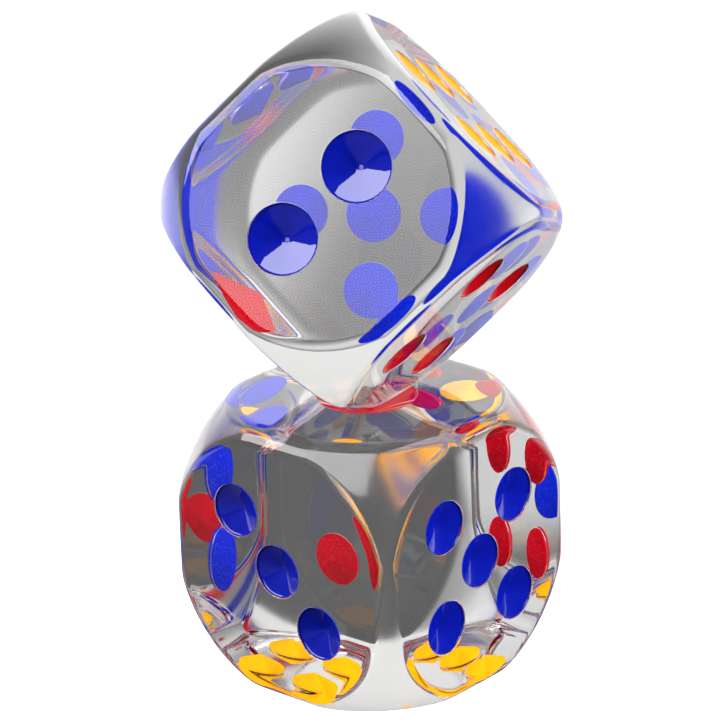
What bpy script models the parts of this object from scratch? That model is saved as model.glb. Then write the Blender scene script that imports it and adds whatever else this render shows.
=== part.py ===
"""Two large clear acrylic dice, the upper one standing on a rounded corner in the big pip of the lower one.

Each die is one solid block with 21 drilled pips, and each pip holds its own dish of coloured enamel.
The lower die stands on its six, with the one up, the three towards -Y and the five towards +X.
The origin is the middle of the lower die's bottom face. The upper die lifts straight up, along +Z.
All lengths are in metres.
"""

import math

import bmesh
import bpy
import numpy as np
from mathutils import Euler, Matrix, Vector

# The block
DIE_SIZE = 0.090            # face to face
EDGE_RADIUS = 0.007         # rounding of every edge
CORNER_RADIUS = 0.0622      # radius of the ball that the corners are turned down to
CELLS_PER_EDGE = 12         # mesh cells along one edge of the block
FLAT_SHARE = 0.5            # share of those cells that lie on the flat face

# The pips: a drilled recess with a short straight wall and a conical bottom
SMALL_RADIUS = 0.00865      # three, four, five and six
MEDIUM_RADIUS = 0.0109      # two
LARGE_RADIUS = 0.01575      # one
WALL_DEPTH = 0.0009         # straight wall under the rim
DRILL_SLOPE = math.radians(22.5)    # slope of the cone that a 135 degree drill leaves
PIP_SIDES = 20

# The enamel in each recess
PAINT_GAP = 0.0003          # kept between the enamel and the block
PAINT_THICKNESS = 0.0007
PAINT_SETBACK = 0.0001      # the enamel stops this far below the face

# Where the pips lie on their faces, measured from the face's centre
TWO_REACH = 0.0156
THREE_REACH = 0.0165
FOUR_REACH = 0.0165
FIVE_REACH = 0.0168
SIX_LONG_REACH = 0.0228     # along a row of three
SIX_SHORT_REACH = 0.0139    # from the middle to each row

# How the upper die stands
SEAT_GAP = 0.0003
UPPER_TILT = (math.radians(-137.5), math.radians(21.5), math.radians(114))

CUT_OVERRUN = 0.002         # how far a cutter stands out of the face
MERGE_DISTANCE = 0.00001

HALF = DIE_SIZE / 2
INNER_HALF = HALF - EDGE_RADIUS
INNER_BALL = CORNER_RADIUS - EDGE_RADIUS
OUTER_HALF = DIE_SIZE       # half side of the cage that the block's mesh is drawn in from

# Each face: its outward direction, and the direction that its layout calls right
FACES = {
    1: ((0, 0, 1), (1, 0, 0)),
    2: ((-1, 0, 0), (0, 0, 1)),
    3: ((0, -1, 0), (1, 0, 0)),
    4: ((0, 1, 0), (1, 0, 0)),
    5: ((1, 0, 0), (0, 1, 0)),
    6: ((0, 0, -1), (1, 0, 0)),
}

# Red, green, blue of each enamel, and the faces it fills
ENAMELS = {
    "red_enamel": ((0.60, 0.01, 0.03), (1, 4)),
    "blue_enamel": ((0.01, 0.04, 0.55), (2, 3, 5)),
    "yellow_enamel": ((0.90, 0.42, 0.01), (6,)),
}


def make_material(name, colour, roughness, alpha=1.0):
    """A glossy material of one colour; a low alpha stands for clear plastic."""
    material = bpy.data.materials.new(name)
    material.use_nodes = True
    shader = material.node_tree.nodes["Principled BSDF"]
    shader.inputs["Base Color"].default_value = (*colour, 1.0)
    shader.inputs["Roughness"].default_value = roughness
    shader.inputs["Metallic"].default_value = 0.0
    shader.inputs["Alpha"].default_value = alpha
    return material


def pip_layout(face):
    """The centres of one face's pips, as (right, up) from the face's centre."""
    if face == 1:
        return [(0, 0)]
    if face == 2:
        return [(-TWO_REACH, 0), (TWO_REACH, 0)]
    if face == 3:
        return [(-THREE_REACH, THREE_REACH), (0, 0), (THREE_REACH, -THREE_REACH)]
    if face == 6:
        columns = (-SIX_LONG_REACH, 0, SIX_LONG_REACH)
        rows = (-SIX_SHORT_REACH, SIX_SHORT_REACH)
        return [(x, y) for y in rows for x in columns]
    reach = FOUR_REACH if face == 4 else FIVE_REACH
    corners = [(x, y) for y in (-reach, reach) for x in (-reach, reach)]
    return corners if face == 4 else corners + [(0, 0)]


def pip_radius(face):
    """One is the large pip, two has medium ones, and all the others are small."""
    return {1: LARGE_RADIUS, 2: MEDIUM_RADIUS}.get(face, SMALL_RADIUS)


def pip_frames(face):
    """For each pip of a face, the matrix that carries a pip at the origin, opening up, onto the die."""
    outward, right = (Vector(direction) for direction in FACES[face])
    up = outward.cross(right)
    turn = Matrix((right, up, outward)).transposed().to_4x4()
    lift = outward * HALF
    return [Matrix.Translation(lift + right * x + up * y) @ turn for x, y in pip_layout(face)]


def pip_depth(radius):
    """Depth of a recess from the face to the tip of its cone."""
    return WALL_DEPTH + radius * math.tan(DRILL_SLOPE)


def block_surface(cage):
    """Carry points of the cube from -1 to +1 onto the rounded block.

    The block is every point within EDGE_RADIUS of an inner solid: the cube of INNER_HALF inside the
    ball of INNER_BALL. On each face, square rings become rings that follow the flat's outline, then
    fan out to a wide cage. Each cage point p goes to the nearest point q of the inner solid, which is
    p shrunk by some factor and then clipped to the cube, and from there EDGE_RADIUS on towards p.
    """
    every = np.arange(len(cage))
    axis = np.abs(cage).argmax(axis=1)
    across = cage.copy()
    across[every, axis] = 0.0
    ring = np.abs(across).max(axis=1)
    heading = across / np.maximum(ring, 1e-9)[:, None]

    # Along each heading: the flat reaches to flat_edge, and the cage from there to OUTER_HALF
    flat_circle = math.sqrt(INNER_BALL ** 2 - INNER_HALF ** 2)
    length = np.maximum(np.linalg.norm(heading, axis=1), 1e-9)
    flat_edge = np.minimum(INNER_HALF, flat_circle / length)
    fan = np.clip((ring - FLAT_SHARE) / (1 - FLAT_SHARE), 0, 1)
    reach = np.where(
        ring < FLAT_SHARE,
        flat_edge * ring / FLAT_SHARE,
        flat_edge + (OUTER_HALF - flat_edge) * np.tan(fan * math.pi / 4),
    )
    outer = heading * reach[:, None]
    outer[every, axis] = np.sign(cage[every, axis]) * OUTER_HALF

    # The shrink that puts the clipped point on the ball, with none, one or two of its axes clipped
    large, middle, small = -np.sort(-np.abs(outer), axis=1).T
    tiny = 1e-12
    shrink_free = INNER_BALL / np.linalg.norm(outer, axis=1)
    shrink_one = flat_circle / np.maximum(np.hypot(middle, small), tiny)
    edge_reach = math.sqrt(INNER_BALL ** 2 - 2 * INNER_HALF ** 2)
    shrink_two = edge_reach / np.maximum(small, tiny)
    shrink = np.minimum(1, np.maximum(shrink_free, np.maximum(shrink_one, shrink_two)))
    inner = np.clip(outer * shrink[:, None], -INNER_HALF, INNER_HALF)

    outwards = outer - inner
    outwards /= np.linalg.norm(outwards, axis=1)[:, None]
    return inner + EDGE_RADIUS * outwards


def make_block(name, collection):
    """A cube, divided and drawn in to the rounded block, still without its pips."""
    mesh = bpy.data.meshes.new(name)
    cage = bmesh.new()
    bmesh.ops.create_cube(cage, size=2.0)
    bmesh.ops.subdivide_edges(cage, edges=cage.edges[:], cuts=CELLS_PER_EDGE - 1, use_grid_fill=True)
    placed = block_surface(np.array([vertex.co[:] for vertex in cage.verts]))
    for vertex, point in zip(cage.verts, placed):
        vertex.co = point
    # The cells of the flats lie in one plane each, so they are merged into one face
    flat = [face for face in cage.faces if max(map(abs, face.calc_center_median())) > HALF - 1e-7]
    inside = [edge for edge in cage.edges if all(face in flat for face in edge.link_faces)]
    bmesh.ops.dissolve_edges(cage, edges=inside, use_verts=True)
    cage.to_mesh(mesh)
    cage.free()
    block = bpy.data.objects.new(name, mesh)
    collection.objects.link(block)
    return block


def turn_profile(name, profile, collection):
    """An open profile of (radius, height) points, turned about Z with a Screw modifier."""
    mesh = bpy.data.meshes.new(name)
    points = [(radius, 0.0, height) for radius, height in profile]
    mesh.from_pydata(points, [(i, i + 1) for i in range(len(points) - 1)], [])
    turned = bpy.data.objects.new(name, mesh)
    collection.objects.link(turned)
    screw = turned.modifiers.new("turn", "SCREW")
    screw.steps = PIP_SIDES
    screw.render_steps = PIP_SIDES
    screw.use_merge_vertices = True
    screw.merge_threshold = MERGE_DISTANCE
    return turned


def make_pip_cutter(face, index, frame, collection):
    """The drill's shape at one pip: straight sides and a conical tip."""
    radius = pip_radius(face)
    profile = [
        (0.0, CUT_OVERRUN),
        (radius, CUT_OVERRUN),
        (radius, -WALL_DEPTH),
        (0.0, -pip_depth(radius)),
    ]
    cutter = turn_profile(f"drill_{face}_{index}", profile, collection)
    cutter.matrix_world = frame
    cutter.hide_render = True
    cutter.display_type = "WIRE"
    return cutter


def enamel_profile(radius):
    """The dish of enamel in a recess: down its outer side to the tip, then up its inner side."""
    outer = radius - PAINT_GAP
    inner = outer - PAINT_THICKNESS
    slope = math.tan(DRILL_SLOPE)
    drop = PAINT_GAP / math.cos(DRILL_SLOPE)
    tip = -pip_depth(radius) + drop
    thick = PAINT_THICKNESS / math.cos(DRILL_SLOPE)
    return [
        (inner, -PAINT_SETBACK),
        (outer, -PAINT_SETBACK),
        (outer, tip + outer * slope),
        (0.0, tip),
        (0.0, tip + thick),
        (inner, tip + thick + inner * slope),
        (inner, -PAINT_SETBACK),
    ]


def baked_mesh(source, name):
    """The mesh that an object's modifiers give, kept on its own."""
    depsgraph = bpy.context.evaluated_depsgraph_get()
    mesh = bpy.data.meshes.new_from_object(source.evaluated_get(depsgraph))
    mesh.name = name
    return mesh


def make_enamel_mesh(name, radius, scratch):
    """One closed dish of enamel for a pip of this radius."""
    turned = turn_profile(name, enamel_profile(radius), scratch)
    mesh = baked_mesh(turned, name)
    bpy.data.objects.remove(turned)
    shape = bmesh.new()
    shape.from_mesh(mesh)
    bmesh.ops.remove_doubles(shape, verts=shape.verts, dist=MERGE_DISTANCE)
    bmesh.ops.recalc_face_normals(shape, faces=shape.faces)
    shape.to_mesh(mesh)
    shape.free()
    mesh.shade_smooth()
    mesh.set_sharp_from_angle(angle=math.radians(30))
    return mesh


def make_die_mesh(cutters):
    """The block with all its recesses cut, as one mesh that both dice share."""
    for face in FACES:
        for index, frame in enumerate(pip_frames(face), start=1):
            make_pip_cutter(face, index, frame, cutters)
    block = make_block("die_block", cutters)
    drill = block.modifiers.new("drill", "BOOLEAN")
    drill.operation = "DIFFERENCE"
    drill.solver = "EXACT"
    drill.operand_type = "COLLECTION"
    bits = bpy.data.collections.new("drill_bits")
    for cutter in list(cutters.objects):
        if cutter is not block:
            bits.objects.link(cutter)
    drill.collection = bits
    bpy.context.view_layer.update()
    mesh = baked_mesh(block, "die_body")
    bpy.data.objects.remove(block)
    mesh.shade_smooth()
    mesh.set_sharp_from_angle(angle=math.radians(20))
    return mesh


def place(name, mesh, material, frame, parent, collection):
    """A named piece with its own material, placed by its parent die."""
    piece = bpy.data.objects.new(name, mesh)
    collection.objects.link(piece)
    piece.parent = parent
    piece.matrix_local = frame
    if not mesh.materials:
        mesh.materials.append(None)
    piece.material_slots[0].link = "OBJECT"
    piece.material_slots[0].material = material
    return piece


def make_die(die, centre, tilt, meshes, materials, collection):
    """One die: an empty at its centre, its body, and its 21 dishes of enamel."""
    pivot = bpy.data.objects.new(f"{die}_centre", None)
    collection.objects.link(pivot)
    pivot.location = centre
    pivot.rotation_euler = Euler(tilt, "XYZ")
    place(f"{die}_body", meshes["body"], materials["clear_acrylic"], Matrix(), pivot, collection)
    for enamel, (_, faces) in ENAMELS.items():
        for face in faces:
            for index, frame in enumerate(pip_frames(face), start=1):
                name = f"{die}_face_{face}_pip_{index}"
                mesh = meshes[pip_radius(face)]
                place(name, mesh, materials[enamel], frame, pivot, collection)
    return pivot


def seat_height():
    """Height of the upper die's centre: its corner ball rests on the rim of the lower die's one."""
    return DIE_SIZE + math.sqrt(CORNER_RADIUS ** 2 - LARGE_RADIUS ** 2) + SEAT_GAP / 0.9


def build():
    for leftover in list(bpy.data.objects):
        bpy.data.objects.remove(leftover)
    parts = bpy.data.collections.new("stacked_clear_dice")
    cutters = bpy.data.collections.new("cutters")
    bpy.context.scene.collection.children.link(parts)
    bpy.context.scene.collection.children.link(cutters)

    materials = {"clear_acrylic": make_material("clear_acrylic", (0.90, 0.92, 0.94), 0.02, alpha=0.3)}
    for enamel, (colour, _) in ENAMELS.items():
        materials[enamel] = make_material(enamel, colour, 0.12)

    meshes = {"body": make_die_mesh(cutters)}
    for radius in (SMALL_RADIUS, MEDIUM_RADIUS, LARGE_RADIUS):
        meshes[radius] = make_enamel_mesh("enamel_dish", radius, cutters)

    make_die("lower_die", (0, 0, HALF), (0, 0, 0), meshes, materials, parts)
    make_die("upper_die", (0, 0, seat_height()), UPPER_TILT, meshes, materials, parts)


build()
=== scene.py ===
# %% [markdown]
# # Two clear dice, one balanced on the other
#
# Each die is one solid block of cast acrylic, sawn square, turned down at its corners, rounded at its
# edges and polished until it is as clear as water. Its pips are drilled, and each holds its own dish of
# coloured enamel. What makes such a die look real is not the block but what is seen through it: every
# pip shows several times over, bent by the faces and mirrored by them from inside.
#
# The design model gives the frame: where each die stands, how it is tilted, and where every pip lies.
# This lesson builds the fine surfaces on that frame, then the materials, then the light.

import math

import bmesh
import bpy
import numpy as np
from mathutils import Euler, Matrix, Vector
from mathutils.geometry import delaunay_2d_cdt


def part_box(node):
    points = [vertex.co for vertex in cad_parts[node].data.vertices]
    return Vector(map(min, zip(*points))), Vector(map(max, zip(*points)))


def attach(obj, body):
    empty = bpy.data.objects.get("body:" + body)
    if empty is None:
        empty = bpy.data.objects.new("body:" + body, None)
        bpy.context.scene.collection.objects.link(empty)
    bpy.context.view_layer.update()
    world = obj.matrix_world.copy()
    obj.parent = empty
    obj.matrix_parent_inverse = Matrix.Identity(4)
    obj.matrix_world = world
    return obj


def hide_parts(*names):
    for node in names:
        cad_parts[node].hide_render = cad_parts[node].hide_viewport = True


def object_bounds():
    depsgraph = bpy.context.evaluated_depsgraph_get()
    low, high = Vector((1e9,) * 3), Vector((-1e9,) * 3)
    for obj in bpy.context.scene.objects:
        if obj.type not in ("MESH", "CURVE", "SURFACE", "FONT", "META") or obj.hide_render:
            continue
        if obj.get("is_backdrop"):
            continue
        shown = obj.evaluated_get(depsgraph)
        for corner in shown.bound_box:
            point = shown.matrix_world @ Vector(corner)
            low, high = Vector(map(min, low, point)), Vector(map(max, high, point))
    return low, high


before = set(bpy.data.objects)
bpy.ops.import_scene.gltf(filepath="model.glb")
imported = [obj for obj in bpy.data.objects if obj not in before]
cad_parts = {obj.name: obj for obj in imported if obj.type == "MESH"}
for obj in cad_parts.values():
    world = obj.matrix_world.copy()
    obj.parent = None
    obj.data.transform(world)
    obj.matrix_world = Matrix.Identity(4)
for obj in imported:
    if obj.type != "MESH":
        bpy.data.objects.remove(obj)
cad_box = [list(corner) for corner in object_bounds()]

# %% [markdown]
# ## The sizes that the block was made to
#
# A maker would write these on the drawing. They are the same as in the design model, so the fine surface
# fills the same box. The face-to-face size is read back from the frame, and so are the two centres,
# because a die is the same on both sides of its middle.

# %% Driving sizes, in metres
lower_low, lower_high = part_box("lower_die_body")
upper_low, upper_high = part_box("upper_die_body")
HALF = (lower_high[2] - lower_low[2]) / 2
EDGE_RADII = np.linspace(0.003, 0.011, 9)      # tightest to loosest rounding along the edges
CORNER_RADIUS = 0.0622
CAGE_HALF = 2 * HALF

SMALL_RADIUS = 0.00865
MEDIUM_RADIUS = 0.0109
LARGE_RADIUS = 0.01575
WALL_DEPTH = 0.0009
DRILL_SLOPE = math.radians(22.5)
PIP_RADIUS = {1: LARGE_RADIUS, 2: MEDIUM_RADIUS, **{face: SMALL_RADIUS for face in (3, 4, 5, 6)}}
print(f"face to face {2000 * HALF:.2f} mm, edges rounded by {1000 * EDGE_RADII.mean():.1f} mm")

# %% [markdown]
# ## One die on its corner
#
# The lower die stands flat on its six. The upper one stands on the corner between its one, four and
# five, in the wide red recess of the die below, which keeps it from slipping off. Its three turns are
# about fixed X, Y and Z, in that order.

# %% Where the two dice stand
UPPER_TILT = (math.radians(-137.5), math.radians(21.5), math.radians(114))
lower_centre = (Vector(lower_low) + Vector(lower_high)) / 2
upper_centre = (Vector(upper_low) + Vector(upper_high)) / 2
DICE = {
    "lower_die": Matrix.Translation(lower_centre),
    "upper_die": Matrix.Translation(upper_centre) @ Euler(UPPER_TILT, "XYZ").to_matrix().to_4x4(),
}
for die, place in DICE.items():
    print(die, "centre", [round(1000 * value, 2) for value in place.translation], "mm")

# %% [markdown]
# ## Six faces, twenty-one pips
#
# Opposite faces add up to seven, and one, two and three run counter-clockwise round the corner that they
# share. Each face has an outward direction and a direction that its layout calls right. The pips of a
# face are points measured from its centre. Where a pip lies is worked out once and used three times: to
# cut the hole in the flat, to drill the recess and to pour the enamel.

# %% The layout of the faces
FACES = {
    1: ((0, 0, 1), (1, 0, 0)),
    2: ((-1, 0, 0), (0, 0, 1)),
    3: ((0, -1, 0), (1, 0, 0)),
    4: ((0, 1, 0), (1, 0, 0)),
    5: ((1, 0, 0), (0, 1, 0)),
    6: ((0, 0, -1), (1, 0, 0)),
}
TWO_REACH = 0.0156
THREE_REACH = 0.0165
FOUR_REACH = 0.0165
FIVE_REACH = 0.0168
SIX_LONG_REACH = 0.0228
SIX_SHORT_REACH = 0.0139


def square_of_pips(reach):
    """Four pips at the corners of a square, in rows from the bottom."""
    return [(x, y) for y in (-reach, reach) for x in (-reach, reach)]


LAYOUT = {
    1: [(0, 0)],
    2: [(-TWO_REACH, 0), (TWO_REACH, 0)],
    3: [(-THREE_REACH, THREE_REACH), (0, 0), (THREE_REACH, -THREE_REACH)],
    4: square_of_pips(FOUR_REACH),
    5: square_of_pips(FIVE_REACH) + [(0, 0)],
    6: [(x, y) for y in (-SIX_SHORT_REACH, SIX_SHORT_REACH) for x in (-SIX_LONG_REACH, 0, SIX_LONG_REACH)],
}


def face_axes(face):
    """The face's right, up and outward directions as the rows of a 3 by 3 array."""
    outward, right = (np.array(direction, float) for direction in FACES[face])
    return np.array([right, np.cross(outward, right), outward])


print("pips per face", {face: len(pips) for face, pips in LAYOUT.items()})

# %% [markdown]
# ## The rounded skin of the block
#
# The block is a cube whose corners are turned down to a ball, with every edge rounded. One way to make
# it is a cube cut by a sphere and then bevelled, but a bevel leaves uneven strips where a flat meets the
# ball, and through clear plastic each strip shows as a kink. Here the shape is a rule instead: a
# rounded block is every point within one edge radius of an inner solid, which is a smaller cube inside
# a smaller ball. A point p of a cage round the block goes to the nearest point q of the inner solid, and
# from there one radius on towards p.
#
# A polishing wheel leaves no line where a flat ends and the round begins: the flat fades into it. So
# the skin is the average of blocks with tighter and looser edges, all reached from the same cage. Each
# face gets a collar: rings that start just inside the flat's outline and fan out to the middle of the
# rounded edges, where the six collars meet.

# %% Collars of rounded skin
COLUMNS = 256               # round each collar
FAN_RINGS = 34              # from the flat's outline to the middle of the rounded edge
GUARD = 0.985               # the innermost ring, as a share of the flat's outline
TINY = 1e-12


def inner_solid(radius):
    """Half width, ball radius and flat circle of the inner solid for one edge radius."""
    half, ball = HALF - radius, CORNER_RADIUS - radius
    return half, ball, math.sqrt(ball ** 2 - half ** 2)


def rounded(outer, radius):
    """Where a block with this edge radius lies nearest to points outside it.

    The nearest inner point is p shrunk by s and clipped to the cube, q = clip(s p), and the ball sets
    s. With no axis clipped s = B / |p|, with one s = sqrt(B^2 - H^2) / |the other two|, and with two
    s = sqrt(B^2 - 2 H^2) / |the last|, or 0 where the ball takes the whole edge. The largest of these, at
    most 1, is the right one.
    """
    half, ball, circle = inner_solid(radius)
    large, middle, small = -np.sort(-np.abs(outer), axis=-1).transpose(-1, *range(outer.ndim - 1))
    free = ball / np.sqrt(large ** 2 + middle ** 2 + small ** 2)
    one = circle / np.maximum(np.hypot(middle, small), TINY)
    two = math.sqrt(max(0, ball ** 2 - 2 * half ** 2)) / np.maximum(small, TINY)
    shrink = np.minimum(1, np.maximum(free, np.maximum(one, two)))
    inner = np.clip(outer * shrink[..., None], -half, half)
    outwards = outer - inner
    return inner + radius * outwards / np.linalg.norm(outwards, axis=-1, keepdims=True)


def collar(face):
    """Rings of points round one flat, as an array (rings, COLUMNS, 3).

    A heading round the square is (cos a, sin a) over the larger of the two. The fan angle f runs from 0
    at the flat's outline to 45 degrees at the edge's middle, and the cage's reach along a heading is
    flat + (cage - flat) tan f, so that the skin turns by equal steps.
    """
    angle = np.linspace(0, 2 * np.pi, COLUMNS, endpoint=False)
    heading = np.stack([np.cos(angle), np.sin(angle)], axis=-1)
    heading /= np.abs(heading).max(axis=-1, keepdims=True)
    half, _, circle = inner_solid(EDGE_RADII.max())
    flat_edge = np.minimum(half, circle / np.linalg.norm(heading, axis=-1))
    fan = np.tan(np.linspace(0, np.pi / 4, FAN_RINGS + 1))
    reach = flat_edge + (CAGE_HALF - flat_edge) * fan[:, None]
    across = heading * reach[..., None]
    outer = np.concatenate([across, np.full(reach.shape + (1,), CAGE_HALF)], axis=-1)
    rings = np.mean([rounded(outer, radius) for radius in EDGE_RADII], axis=0)
    guard = rings[:1] * (GUARD, GUARD, 1)
    return np.concatenate([guard, rings]) @ face_axes(face)


def grid_quads(rows, columns, start):
    """Quads of a grid that closes on itself sideways, rows running outwards, columns anticlockwise."""
    row, column = np.meshgrid(np.arange(rows - 1), np.arange(columns), indexing="ij")
    beside = (column + 1) % columns
    inner, outer = row * columns, (row + 1) * columns
    corners = [inner + column, outer + column, outer + beside, inner + beside]
    return start + np.stack(corners, axis=-1).reshape(-1, 4)


print("one collar", collar(1).shape)

# %% [markdown]
# ## The flats, with round holes for the pips
#
# Light is bent by the direction of a surface, so a flat must be truly flat. Its corners may only lie on
# the guard ring and on the rims of the recesses, and the triangles between them come from a constrained
# Delaunay triangulation, which never crosses a rim. Blender's mathutils has one, and it takes a moment
# where cutting with a Boolean would take many seconds.

# %% Flats with holes
PIP_COLUMNS = 96
RIM_ROUND = 0.00022         # the polished lip of a recess
RIM_GUARD = 0.00020         # a ring of flat round the lip, which keeps the wide flat truly flat
SNAP = 1e-9                 # points closer than this count as one


def ring_of_points(radius, count):
    """Points (r cos a, r sin a) round a circle."""
    angle = np.linspace(0, 2 * np.pi, count, endpoint=False)
    return radius * np.stack([np.cos(angle), np.sin(angle)], axis=-1)


def loop_edges(start, count):
    """The edges of a closed loop of points."""
    return [(start + i, start + (i + 1) % count) for i in range(count)]


def flat_with_holes(face, outline):
    """Triangles between a flat's outline and the rims of its recesses, in the face's own plane."""
    loops = [outline]
    rim = PIP_RADIUS[face] + RIM_ROUND + RIM_GUARD
    loops += [ring_of_points(rim, PIP_COLUMNS) + np.array(pip) for pip in LAYOUT[face]]
    points, edges = np.concatenate(loops), []
    start = 0
    for loop in loops:
        edges += loop_edges(start, len(loop))
        start += len(loop)
    flat = delaunay_2d_cdt([Vector(point) for point in points.tolist()], edges, [], 1, SNAP)
    corners = np.array([vertex[:] for vertex in flat[0]])
    triangles = np.array(flat[2])
    middle = corners[triangles].mean(axis=1)
    hole = [np.hypot(*(middle - np.array(pip)).T) < rim for pip in LAYOUT[face]]
    triangles = triangles[~np.any(hole, axis=0)]
    side_a = corners[triangles[:, 1]] - corners[triangles[:, 0]]
    side_b = corners[triangles[:, 2]] - corners[triangles[:, 0]]
    clockwise = side_a[:, 0] * side_b[:, 1] < side_a[:, 1] * side_b[:, 0]
    triangles[clockwise] = triangles[clockwise][:, ::-1]
    return corners, triangles


print(f"lips {1000 * RIM_ROUND:.2f} mm, {PIP_COLUMNS} points round each pip")

# %% [markdown]
# ## The recesses
#
# A drill with a blunt point leaves a short straight wall and a shallow cone. The recess is a turned
# surface: a profile of radius and depth carried round the pip's axis. The lip is a quarter round a
# fifth of a millimetre across, which is all that polishing takes off, but it is what catches the light
# as a thin bright ring round each pip.

# %% Turned surfaces
LIP_STEPS = 4
CONE_RINGS = 5


def recess_profile(radius):
    """From the flat over the lip, down the wall and along the cone to its tip, as (radius, height)."""
    turn = np.linspace(0, np.pi / 2, LIP_STEPS + 1)
    lip = np.stack([radius + RIM_ROUND * (1 - np.sin(turn)), RIM_ROUND * (np.cos(turn) - 1)], axis=-1)
    cone_radius = np.linspace(radius, 0, CONE_RINGS + 1)
    cone_height = -WALL_DEPTH - (radius - cone_radius) * math.tan(DRILL_SLOPE)
    guard = [[radius + RIM_ROUND + RIM_GUARD, 0]]
    return np.concatenate([guard, lip, np.stack([cone_radius, cone_height], axis=-1)])


def turned(profile, columns=PIP_COLUMNS):
    """The grid of points (r cos a, r sin a, h) that a profile sweeps, as (rows, columns, 3)."""
    around = ring_of_points(1.0, columns)
    flat = profile[:, None, :1] * around
    height = np.broadcast_to(profile[:, None, 1:], flat.shape[:2] + (1,))
    return np.concatenate([flat, height], axis=-1)


def onto_face(points, face, pip=(0, 0)):
    """Carry points from a pip's own frame, which opens along +Z, to the die's frame."""
    return (points + np.array([pip[0], pip[1], HALF])) @ face_axes(face)


depths = {face: round(-1000 * recess_profile(radius)[-1, 1], 2) for face, radius in PIP_RADIUS.items()}
print("recess depths in mm", depths)

# %% [markdown]
# ## One mesh from many patches
#
# The patches meet along shared rings, so a merge by distance closes the block. The poles, where a cone
# ends in a point, are merged the same way. Corners sharper than 30 degrees keep a crisp edge, and all
# the rest is shaded smooth.

# %% Building and closing a mesh
MERGE = 1e-6
SHARP = math.radians(30)


def make_mesh(name, patches, place, slots=None):
    """Join (points, faces) patches, put them in place, merge shared points and shade smooth.

    slots gives each face its material slot, where a piece has more than one.
    """
    points, faces, start = [], [], 0
    for patch_points, patch_faces in patches:
        points.append(patch_points.reshape(-1, 3))
        faces += (np.asarray(patch_faces) + start).tolist()
        start += len(points[-1])
    mesh = bpy.data.meshes.new(name)
    mesh.from_pydata(np.concatenate(points).tolist(), [], faces)
    mesh.transform(place)
    if slots is not None:
        mesh.polygons.foreach_set("material_index", slots)
    shape = bmesh.new()
    shape.from_mesh(mesh)
    bmesh.ops.remove_doubles(shape, verts=shape.verts, dist=MERGE)
    open_edges = sum(not edge.is_manifold for edge in shape.edges)
    shape.to_mesh(mesh)
    shape.free()
    mesh.shade_smooth()
    mesh.set_sharp_from_angle(angle=SHARP)
    piece = bpy.data.objects.new(name, mesh)
    bpy.context.scene.collection.objects.link(piece)
    return piece, open_edges


print("corners sharper than", round(math.degrees(SHARP)), "degrees stay crisp")

# %% [markdown]
# ## The two blocks
#
# The acrylic block of one die is six collars, six flats and twenty-one recesses. The flats are lapped
# and stay clear, while the rounds are buffed by hand and stay a little soft. So each point also keeps
# how far it lies into a round, and the material turns that into a light haze.

# %% The blocks
ROUNDING_DEPTH = 0.003      # how far below the flats the skin counts as fully rounded


def block_patches():
    """Every patch of one die's block, in the die's own frame."""
    patches = []
    for face in FACES:
        rings = collar(face)
        patches.append((rings, grid_quads(*rings.shape[:2], 0)))
        outline = (rings[0] @ face_axes(face).T)[:, :2]
        corners, triangles = flat_with_holes(face, outline)
        lifted = np.concatenate([corners, np.zeros((len(corners), 1))], axis=1)
        patches.append((onto_face(lifted, face), triangles))
        profile = recess_profile(PIP_RADIUS[face])
        recess = turned(profile)
        quads = grid_quads(*recess.shape[:2], 0)[:, ::-1]
        patches += [(onto_face(recess, face, pip), quads) for pip in LAYOUT[face]]
    return patches


def mark_rounding(block, place):
    """Attribute "rounding": (half width - the largest of |x|, |y|, |z|) / depth, held to 0 to 1.

    It is 0 for points nearer the centre than the faces are, which only a recess can have.
    """
    points = np.empty(3 * len(block.data.vertices))
    block.data.vertices.foreach_get("co", points)
    turn = np.array(place.to_3x3())
    own = (points.reshape(-1, 3) - np.array(place.translation)) @ turn
    below = np.clip((HALF - np.abs(own).max(axis=1)) / ROUNDING_DEPTH, 0, 1)
    below[np.linalg.norm(own, axis=1) < HALF] = 0
    block.data.attributes.new("rounding", "FLOAT", "POINT").data.foreach_set("value", below)
    return below.mean()


blocks = {}
for die, place in DICE.items():
    block, open_edges = make_mesh(f"{die}_clear_block", block_patches(), place)
    print("rounded share of the points", round(mark_rounding(block, place), 2))
    blocks[die] = block
    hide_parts(f"{die}_body")
    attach(block, die)
    print(block.name, len(block.data.polygons), "faces,", open_edges, "open edges")

# %% [markdown]
# ## The enamel
#
# Enamel is dripped into each recess and runs down the cone. It creeps a little way up the wall and
# dries there with a hollow edge, the meniscus, which is why a pip shows a dark ring inside its rim.
# The dish is one turned surface, from the tip up the face that we see, over its edge and back down the
# side that grips the acrylic. That side is set a tenth of a millimetre into the block, because
# enamel that wets the plastic leaves no air between them, and air would shine like a mirror.

# %% Dishes of enamel
FILM = 0.00012              # thickness of the dried enamel on the cone
GRIP = 0.00010              # how far its back is set into the acrylic
SETBACK = 0.00030           # clear wall left between the enamel's edge and the face
MENISCUS = 0.00075
MENISCUS_STEPS = 7


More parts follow.
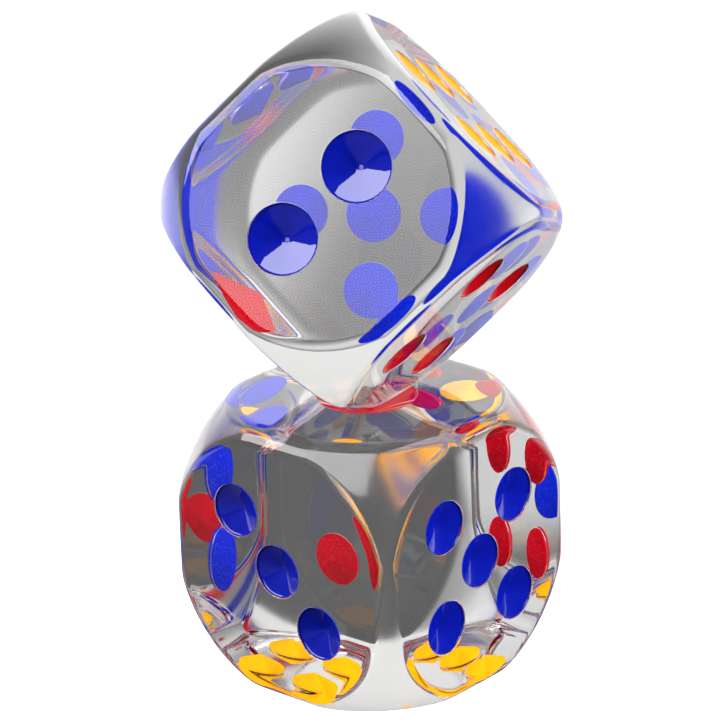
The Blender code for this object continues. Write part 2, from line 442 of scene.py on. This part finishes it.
def enamel_profile(radius):
    """The dish from its tip outwards: cone, meniscus, edge, then down the back to the tip again.

    On the cone height = -wall - (R - r) tan(slope) + film / cos(slope). The meniscus is an arc that
    touches the cone and the wall: its centre is one meniscus radius from both.
    """
    slope, lean = math.tan(DRILL_SLOPE), math.cos(DRILL_SLOPE)
    wall = radius - FILM
    centre_radius = wall - MENISCUS
    centre_height = -WALL_DEPTH - (radius - centre_radius) * slope + (FILM + MENISCUS) / lean
    turn = np.linspace(DRILL_SLOPE - np.pi / 2, 0, MENISCUS_STEPS)
    arc = np.stack([centre_radius + MENISCUS * np.cos(turn), centre_height + MENISCUS * np.sin(turn)], -1)
    cone_radius = np.linspace(0, arc[0, 0], CONE_RINGS + 1)[:-1]
    cone = np.stack([cone_radius, -WALL_DEPTH - (radius - cone_radius) * slope + FILM / lean], -1)
    edge = np.array([[wall, -SETBACK - FILM], [wall + FILM / 2, -SETBACK]])
    back_radius = np.linspace(radius + GRIP, 0, CONE_RINGS + 1)
    back = np.stack([back_radius, -WALL_DEPTH - (radius - back_radius) * slope - GRIP / lean], -1)
    front = np.concatenate([cone, arc, edge])
    return np.concatenate([front, [[radius + GRIP, -SETBACK - FILM / 2]], back]), len(front)


RED, BLUE, YELLOW = "red_enamel", "blue_enamel", "yellow_enamel"
ENAMEL_OF_FACE = {1: RED, 2: BLUE, 3: BLUE, 4: RED, 5: BLUE, 6: YELLOW}
dishes = []
for die, place in DICE.items():
    for face, pips in LAYOUT.items():
        profile, front_rows = enamel_profile(PIP_RADIUS[face])
        points = turned(profile)
        quads = grid_quads(*points.shape[:2], 0)
        slots = (np.arange(len(quads)) // PIP_COLUMNS >= front_rows - 1).astype(np.int32)
        for number, pip in enumerate(pips, start=1):
            patch = (onto_face(points, face, pip), quads)
            dish, open_edges = make_mesh(f"{die}_enamel_{face}_{number}", [patch], place, slots)
            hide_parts(f"{die}_face_{face}_pip_{number}")
            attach(dish, die)
            dishes.append((dish, face))
            assert open_edges == 0
print(len(dishes), "dishes of enamel,", len(dishes[0][0].data.polygons), "faces each")

# %% [markdown]
# ## Shared finish: the grain that every polished or painted surface has
#
# Nothing that hands have turned over is perfectly even. One node group makes three slow or fine
# variations from Object coordinates, so that they stay put on the die: a cloudy one for colour and
# gloss, a fine one for specks, and a height for a Bump node. Each material sets its own sizes and
# amounts. The group only puts out numbers; the shaders stay in the materials.

# %% The grain group
GRAIN_SIZES = ("Cloud Size", "Speck Size", "Speck Share", "Ripple Size")


def link(tree, source, target):
    """Join an output to an input."""
    tree.links.new(source, target)


def number_node(tree, operation, first, second, third=None):
    """A Math node on two or three values, each a number or an output."""
    node = tree.nodes.new("ShaderNodeMath")
    node.operation = operation
    for socket, value in zip(node.inputs, (first, second, third)):
        if isinstance(value, (int, float)):
            socket.default_value = value
        elif value is not None:
            link(tree, value, socket)
    return node.outputs[0]


def dot_node(tree, where, along):
    """How far a place or a direction reaches along a unit vector."""
    node = tree.nodes.new("ShaderNodeVectorMath")
    node.operation = "DOT_PRODUCT"
    link(tree, where, node.inputs[0])
    node.inputs[1].default_value = along
    return node.outputs["Value"]


def ramp_node(tree, value, given, wanted):
    """A Map Range node: value from the given range to the wanted one, held at its ends."""
    node = tree.nodes.new("ShaderNodeMapRange")
    node.interpolation_type = "SMOOTHSTEP"
    link(tree, value, node.inputs["Value"])
    for name, number in zip(("From Min", "From Max", "To Min", "To Max"), (*given, *wanted)):
        node.inputs[name].default_value = number
    return node.outputs["Result"]


def make_grain_group():
    """Outputs Cloud (0 to 1, slow), Speck (0, or 1 in small dots) and Height (fine ripples)."""
    group = bpy.data.node_groups.new("fine_grain", "ShaderNodeTree")
    for name in GRAIN_SIZES:
        group.interface.new_socket(name, in_out="INPUT", socket_type="NodeSocketFloat")
    for name in ("Cloud", "Speck", "Height"):
        group.interface.new_socket(name, in_out="OUTPUT", socket_type="NodeSocketFloat")
    given = group.nodes.new("NodeGroupInput")
    result = group.nodes.new("NodeGroupOutput")
    where = group.nodes.new("ShaderNodeTexCoord").outputs["Object"]

    def noise(size, detail):
        """Noise whose features are about this many metres across."""
        texture = group.nodes.new("ShaderNodeTexNoise")
        link(group, where, texture.inputs["Vector"])
        link(group, number_node(group, "DIVIDE", 1.0, size), texture.inputs["Scale"])
        texture.inputs["Detail"].default_value = detail
        return texture.outputs["Fac"]

    link(group, noise(given.outputs["Cloud Size"], 3.0), result.inputs["Cloud"])
    link(group, noise(given.outputs["Ripple Size"], 2.0), result.inputs["Height"])
    cells = group.nodes.new("ShaderNodeTexVoronoi")
    link(group, where, cells.inputs["Vector"])
    link(group, number_node(group, "DIVIDE", 1.0, given.outputs["Speck Size"]), cells.inputs["Scale"])
    speck = number_node(group, "LESS_THAN", cells.outputs["Distance"], given.outputs["Speck Share"])
    link(group, speck, result.inputs["Speck"])
    return group


GRAIN = make_grain_group()
print("group", GRAIN.name, "with", len(GRAIN.nodes), "nodes")

# %% [markdown]
# ## Clear acrylic
#
# Acrylic bends light a little less than window glass: its index is 1.49. The block is a true solid, so
# the shader only needs full transmission, and the shape does the rest. Its roughness is nothing on the
# flats and slight on the buffed rounds, which blurs what shows through them into soft bands. Lamps can't
# find their way through bent light by themselves, so for shadow rays alone the block is a clear filter.
# That keeps the shadow light, as a real one is, and the enamel behind the acrylic well lit.

# %% The clear material
ACRYLIC_INDEX = 1.49
EDGE_HAZE = 0.14            # roughness where the skin is fully rounded
DUST_HAZE = 0.2             # roughness of a speck of dust
RIPPLE_DEPTH = 0.00001
ACRYLIC_TINT = (0.985, 0.99, 0.985, 1.0)
SHADOW_TINT = (0.95, 0.96, 0.96, 1.0)


def new_material(name):
    """An empty material with a Principled shader and its output; returns material, tree, shader, output."""
    material = bpy.data.materials.new(name)
    material.use_nodes = True
    tree = material.node_tree
    return material, tree, tree.nodes["Principled BSDF"], tree.nodes["Material Output"]


def add_grain(tree, cloud, speck, share, ripple):
    """The grain group placed in a material with its own sizes, in metres."""
    node = tree.nodes.new("ShaderNodeGroup")
    node.node_tree = GRAIN
    for name, value in zip(GRAIN_SIZES, (cloud, speck, share, ripple)):
        node.inputs[name].default_value = value
    return node


def add_bump(tree, height, distance, shader):
    """A Bump node of this depth in metres, feeding the shader's normal."""
    bump = tree.nodes.new("ShaderNodeBump")
    bump.inputs["Strength"].default_value = 1.0
    bump.inputs["Distance"].default_value = distance
    link(tree, height, bump.inputs["Height"])
    link(tree, bump.outputs["Normal"], shader.inputs["Normal"])


def make_clear_acrylic():
    """Polished cast acrylic, with a few specks of dust and the faintest ripple."""
    material, tree, shader, output = new_material("clear_acrylic")
    shader.inputs["Base Color"].default_value = ACRYLIC_TINT
    shader.inputs["Transmission Weight"].default_value = 1.0
    shader.inputs["IOR"].default_value = ACRYLIC_INDEX
    grain = add_grain(tree, cloud=0.03, speck=0.004, share=0.02, ripple=0.025)
    away = tree.nodes.new("ShaderNodeAttribute")
    away.attribute_name = "rounding"
    haze = ramp_node(tree, away.outputs["Fac"], (0.0, 1.0), (0.0, EDGE_HAZE))
    rough = number_node(tree, "MULTIPLY_ADD", grain.outputs["Speck"], DUST_HAZE, haze)
    link(tree, rough, shader.inputs["Roughness"])
    add_bump(tree, grain.outputs["Height"], RIPPLE_DEPTH, shader)
    shadow = tree.nodes.new("ShaderNodeBsdfTransparent")
    shadow.inputs["Color"].default_value = SHADOW_TINT
    path = tree.nodes.new("ShaderNodeLightPath")
    mix = tree.nodes.new("ShaderNodeMixShader")
    link(tree, path.outputs["Is Shadow Ray"], mix.inputs[0])
    link(tree, shader.outputs["BSDF"], mix.inputs[1])
    link(tree, shadow.outputs["BSDF"], mix.inputs[2])
    link(tree, mix.outputs["Shader"], output.inputs["Surface"])
    return material


clear_acrylic = make_clear_acrylic()
for block in blocks.values():
    block.data.materials.append(clear_acrylic)
print("clear acrylic, index", ACRYLIC_INDEX)

# %% [markdown]
# ## Enamel, from outside and from inside
#
# From outside, enamel is glossy, with a slight unevenness where it ran down the cone. From inside the
# block there is no air between paint and plastic, so there is no gloss at all: that side is a plain
# coat whose only texture is the drilled surface, a sparkle of tiny marks and bubbles. So a dish has
# two materials, and the rows of its profile say which face gets which. Both sides are one paint, but
# the back seen through the acrylic gets brighter shades as painted light, standing in for light that
# reaches it through the block, and the glossy front gets the deepest shade as painted shade.

# %% Enamel colours
# One paint in three shades: the deep one is painted shade on the glossy front, the bright one is painted
# light on the back seen through the acrylic, and the middle one is used on both.
ENAMEL_COLOURS_AND_PAINTED_LIGHT = {          # deep, middle and bright shade of each
    RED: ((0.24, 0.0002, 0.002), (0.32, 0.0005, 0.005), (0.36, 0.001, 0.010)),
    BLUE: ((0.0006, 0.003, 0.17), (0.0012, 0.006, 0.26), (0.002, 0.012, 0.42)),
    YELLOW: ((0.62, 0.17, 0.0008), (0.74, 0.29, 0.0012), (0.80, 0.36, 0.002)),
}
GLOSS_INDEX = 1.55          # hard, resin-rich enamel
GLOSS_ROUGHNESS = 0.03
SPECK_ROUGHNESS = 0.10      # added where a speck lies in the paint
PEEL_DEPTH = 0.000006       # of the orange peel
SPARKLE_LIFT = 0.12         # how far a sparkle is lifted towards white


def mixed_colour(tree, share, first, second):
    """A colour between two, as share goes from 0 to 1."""
    mix = tree.nodes.new("ShaderNodeMix")
    mix.data_type = "RGBA"
    link(tree, share, mix.inputs["Factor"])
    for socket, colour in ((mix.inputs["A"], first), (mix.inputs["B"], second)):
        if hasattr(colour, "node"):
            link(tree, colour, socket)
        else:
            socket.default_value = (*colour, 1.0)
    return mix.outputs["Result"]


def make_enamel_front(name, dark, light):
    """Glossy enamel: cloudy between two close shades, with a faint orange peel."""
    material, tree, shader, _ = new_material(f"{name}_gloss")
    grain = add_grain(tree, cloud=0.004, speck=0.0012, share=0.10, ripple=0.0022)
    link(tree, mixed_colour(tree, grain.outputs["Cloud"], dark, light), shader.inputs["Base Color"])
    rough = number_node(tree, "MULTIPLY_ADD", grain.outputs["Speck"], SPECK_ROUGHNESS, GLOSS_ROUGHNESS)
    link(tree, rough, shader.inputs["Roughness"])
    shader.inputs["IOR"].default_value = GLOSS_INDEX
    add_bump(tree, grain.outputs["Height"], PEEL_DEPTH, shader)
    return material


def make_enamel_back(name, dark, light):
    """Enamel as the acrylic shows it: no gloss, and a sparkle of tiny marks."""
    material, tree, shader, _ = new_material(f"{name}_bonded")
    grain = add_grain(tree, cloud=0.0015, speck=0.0007, share=0.16, ripple=0.001)
    plain = mixed_colour(tree, grain.outputs["Cloud"], dark, light)
    lifted = tuple(value + (1 - value) * SPARKLE_LIFT for value in light)
    link(tree, mixed_colour(tree, grain.outputs["Speck"], plain, lifted), shader.inputs["Base Color"])
    shader.inputs["Roughness"].default_value = 1.0
    shader.inputs["Specular IOR Level"].default_value = 0.0
    return material


# The front takes the deep and middle shades (painted shade), and the back takes the middle and bright ones
# (painted light for the light that reaches it through the block).
enamels = {
    name: (make_enamel_front(name, front_painted_shade, middle), make_enamel_back(name, middle, back_painted_light))
    for name, (front_painted_shade, middle, back_painted_light) in ENAMEL_COLOURS_AND_PAINTED_LIGHT.items()
}
for dish, face in dishes:
    for material in enamels[ENAMEL_OF_FACE[face]]:
        dish.data.materials.append(material)
print("enamels", sorted(enamels))

# %% [markdown]
# ## The studio
#
# The dice stand on a plain white ground, seen through a long lens from a little above, in soft light.
# Clear plastic has no colour of its own, so everything that it shows is the room: the greys in the
# faces, the white columns at the edges and the bright lower tips are all decided by what stands round
# the dice. A studio for clear things is built from cards and walls as much as from lamps.
#
# The long lens keeps both dice nearly free of perspective, and the camera leans by less than two degrees.

# %% Camera
CAMERA_AZIMUTH = 41.43      # degrees round from the front, towards +X
CAMERA_PITCH = 20.80        # degrees above the horizon
CAMERA_ROLL = -1.76
CAMERA_DISTANCE = 1.185
CAMERA_LENS = 189.4
AIM = Vector((-0.0014, -0.0012, 0.1016))


def direction(azimuth, height):
    """Unit vector (sin a cos h, -cos a cos h, sin h); azimuth 0 is -Y, and height is above the horizon."""
    azimuth, height = math.radians(azimuth), math.radians(height)
    level = math.cos(height)
    return Vector((math.sin(azimuth) * level, -math.cos(azimuth) * level, math.sin(height)))


def make_camera():
    """A long lens, looking down at the stack."""
    data = bpy.data.cameras.new("camera")
    data.lens = CAMERA_LENS
    data.sensor_width = 36.0
    data.clip_start = 0.05
    camera = bpy.data.objects.new("camera", data)
    bpy.context.scene.collection.objects.link(camera)
    back = direction(CAMERA_AZIMUTH, CAMERA_PITCH)
    camera.location = AIM + back * CAMERA_DISTANCE
    camera.rotation_mode = "QUATERNION"
    roll = Matrix.Rotation(math.radians(CAMERA_ROLL), 4, "Z").to_quaternion()
    camera.rotation_quaternion = (-back).to_track_quat("-Z", "Y") @ roll
    bpy.context.scene.camera = camera
    return camera


camera = make_camera()
print("camera at", [round(value, 3) for value in camera.location])

# %% [markdown]
# ## Three softboxes
#
# A softbox is a lamp behind white cloth, and a glossy surface shows it as a white shape with straight
# edges. The cone of a pip mirrors only a narrow fan of the room. So one large box, high up in front,
# lights a single bright sector in each pip, and the box's rolled outline decides where the sector
# starts and stops. A smaller one stands where the upper die's nearest face mirrors it, as a pale sheen.
# The third, on the right, is there only to light the enamel, so reflections don't show it.
#
# None of them shows through the acrylic. Flags beside each lamp do that in a real studio: without them
# a lamp burns a white hole into whatever is seen through the far faces.

# %% Softboxes
LAMP_DISTANCE = 1.4         # from the middle of the stack


def softbox(name, towards, size, radiance, offset=(0, 0), roll=0):
    """A rectangular lamp whose plane faces the stack, moved by offset and rolled in that plane.

    Its power is radiance * pi * width * height, so a larger box is no brighter to look at.
    """
    data = bpy.data.lights.new(name, "AREA")
    data.shape = "RECTANGLE"
    data.size, data.size_y = size
    data.energy = radiance * math.pi * size[0] * size[1]
    lamp = bpy.data.objects.new(name, data)
    bpy.context.scene.collection.objects.link(lamp)
    back = direction(*towards)
    turn = (-back).to_track_quat("-Z", "Y")
    lamp.rotation_mode = "QUATERNION"
    lamp.rotation_quaternion = turn @ Matrix.Rotation(math.radians(roll), 4, "Z").to_quaternion()
    lamp.location = Vector((0, 0, AIM.z)) + back * LAMP_DISTANCE + turn @ Vector((*offset, 0))
    lamp.visible_transmission = False
    return lamp


key_softbox = softbox("key_softbox", (-5, 42), (2.33, 0.92), 8.5, offset=(-0.365, 0.176), roll=20)
front_softbox = softbox("front_softbox", (5, 21), (0.62, 0.62), 4.4)
side_softbox = softbox("side_softbox", (110, 8), (0.8, 0.8), 26.0)
side_softbox.visible_glossy = False
print("softboxes", key_softbox.name, front_softbox.name, side_softbox.name)

# %% [markdown]
# ## A pale floor with grey cards on it
#
# The ground in view is a pale matt sheet. A clear block would copy that white into every face and lose
# its shape, so a dark card lies close round it, out of view, and the block bends and mirrors that
# instead. The card turns paler towards the left, and behind the stack the sheet sweeps up white. This is
# what makes the lower faces dark grey and the white column between them.
#
# The cards are one material on one floor. Light-path switches choose what each ray meets: the camera
# meets the pale sheet, bent light the cards, and plain reflections a darker left and a brighter back,
# which stand in for the flags and cards that would be placed one by one.

# %% Floor
FLOOR_SIZE = 8.0
FLOOR_GAP = 0.0004          # between the floor and the face that the lower die stands on
LEFT, BEHIND = (-55, 0), (-139, 0)
CARD_SPAN, CARD_GREY = (0.035, 0.10), (0.056, 0.32)         # metres to the left, and its grey there
SWEEP_SPAN, SWEEP_GREY = (0.25, 1.1), (0.0, 0.27)           # metres behind, for bent light
NEAR_SPAN, NEAR_GREY = (0.04, 0.30), (0.0, 0.80)            # and added in plain reflections
CARD_MIRRORED = 0.3         # how much of the left card shows in plain reflections


def make_floor():
    """A wide pale floor. The camera sees it pale; what the dice mirror and bend is its grey cards."""
    bpy.ops.mesh.primitive_plane_add(size=FLOOR_SIZE, location=(0, 0, -FLOOR_GAP))
    floor = bpy.context.object
    floor.name = "floor"
    material, tree, shader, output = new_material("floor")
    shader.inputs["Base Color"].default_value = (0.9, 0.9, 0.9, 1)
    shader.inputs["Roughness"].default_value = 0.9
    grey = tree.nodes.new("ShaderNodeBsdfDiffuse")
    where = tree.nodes.new("ShaderNodeTexCoord").outputs["Object"]
    path = tree.nodes.new("ShaderNodeLightPath")
    mirrored = path.outputs["Is Reflection Ray"]
    behind = dot_node(tree, where, direction(*BEHIND))
    card = ramp_node(tree, dot_node(tree, where, direction(*LEFT)), CARD_SPAN, CARD_GREY)
    card_share = ramp_node(tree, mirrored, (0.0, 1.0), (1.0, CARD_MIRRORED))
    sweep = ramp_node(tree, behind, SWEEP_SPAN, SWEEP_GREY)
    near_sweep = ramp_node(tree, behind, NEAR_SPAN, NEAR_GREY)
    bent_grey = number_node(tree, "MULTIPLY_ADD", card, card_share, sweep)
    link(tree, number_node(tree, "MULTIPLY_ADD", near_sweep, mirrored, bent_grey), grey.inputs["Color"])
    mix = tree.nodes.new("ShaderNodeMixShader")
    link(tree, path.outputs["Is Camera Ray"], mix.inputs[0])
    link(tree, grey.outputs[0], mix.inputs[1])
    link(tree, shader.outputs["BSDF"], mix.inputs[2])
    link(tree, mix.outputs["Shader"], output.inputs["Surface"])
    floor.data.materials.append(material)
    floor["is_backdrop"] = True
    return floor


floor = make_floor()
print("floor", round(floor.dimensions.x, 1), "m wide")

# %% [markdown]
# ## White walls
#
# Walls and ceiling are one even white that fades towards the right, where the room is dim. Overhead,
# on the left of the lens, the ceiling is a little brighter, and so is the wall behind the stack. Plain
# reflections off the faces see that back wall far brighter than bent light does, which gives the two
# upper faces that lean away their white glare while the block between its pips stays grey.

# %% Surroundings
WALLS = (                   # where to, the span of the dot product, brightness over it, mirrored share
    ((70, -5), (-0.2, 0.8), (0.62, 0.20), 0.25),
    ((-10, 50), (0.6, 1.0), (0.0, 0.25), 0.50),
    ((-145, 8), (0.55, 0.95), (0.0, 0.25), 8.0),
)
WALL_COLOUR = (1.0, 1.0, 0.99, 1.0)


def make_world():
    """The sum of a few lobes: the dot product of the view and the lobe's direction, through a ramp."""
    world = bpy.data.worlds.new("studio")
    bpy.context.scene.world = world
    world.use_nodes = True
    tree = world.node_tree
    background = tree.nodes["Background"]
    where = tree.nodes.new("ShaderNodeTexCoord").outputs["Generated"]
    mirrored = tree.nodes.new("ShaderNodeLightPath").outputs["Is Reflection Ray"]
    total = 0.0
    for towards, span, brightness, mirrored_share in WALLS:
        lobe = ramp_node(tree, dot_node(tree, where, direction(*towards)), span, brightness)
        share = ramp_node(tree, mirrored, (0.0, 1.0), (1.0, mirrored_share))
        total = number_node(tree, "MULTIPLY_ADD", lobe, share, total)
    link(tree, total, background.inputs["Strength"])
    background.inputs["Color"].default_value = WALL_COLOUR
    return world


world = make_world()
print("walls", world.name, "in", len(WALLS), "lobes")

# %% [markdown]
# ## Light paths, and the box that the part fills
#
# Light seen through a block crosses or bounces off its skin many times, and each crossing needs a
# bounce, so the limits are high. Last, the box that the fine surfaces fill is printed beside the
# design model's own.

# %% Finish
scene = bpy.context.scene
scene.view_settings.view_transform = "Standard"
scene.cycles.max_bounces = 32
scene.cycles.transmission_bounces = 32
scene.cycles.glossy_bounces = 24
scene.cycles.diffuse_bounces = 6
visual_box = [list(corner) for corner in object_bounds()]
for name, box in (("design model", cad_box), ("fine surfaces", visual_box)):
    print(name, [[round(1000 * value, 2) for value in corner] for corner in box], "mm")
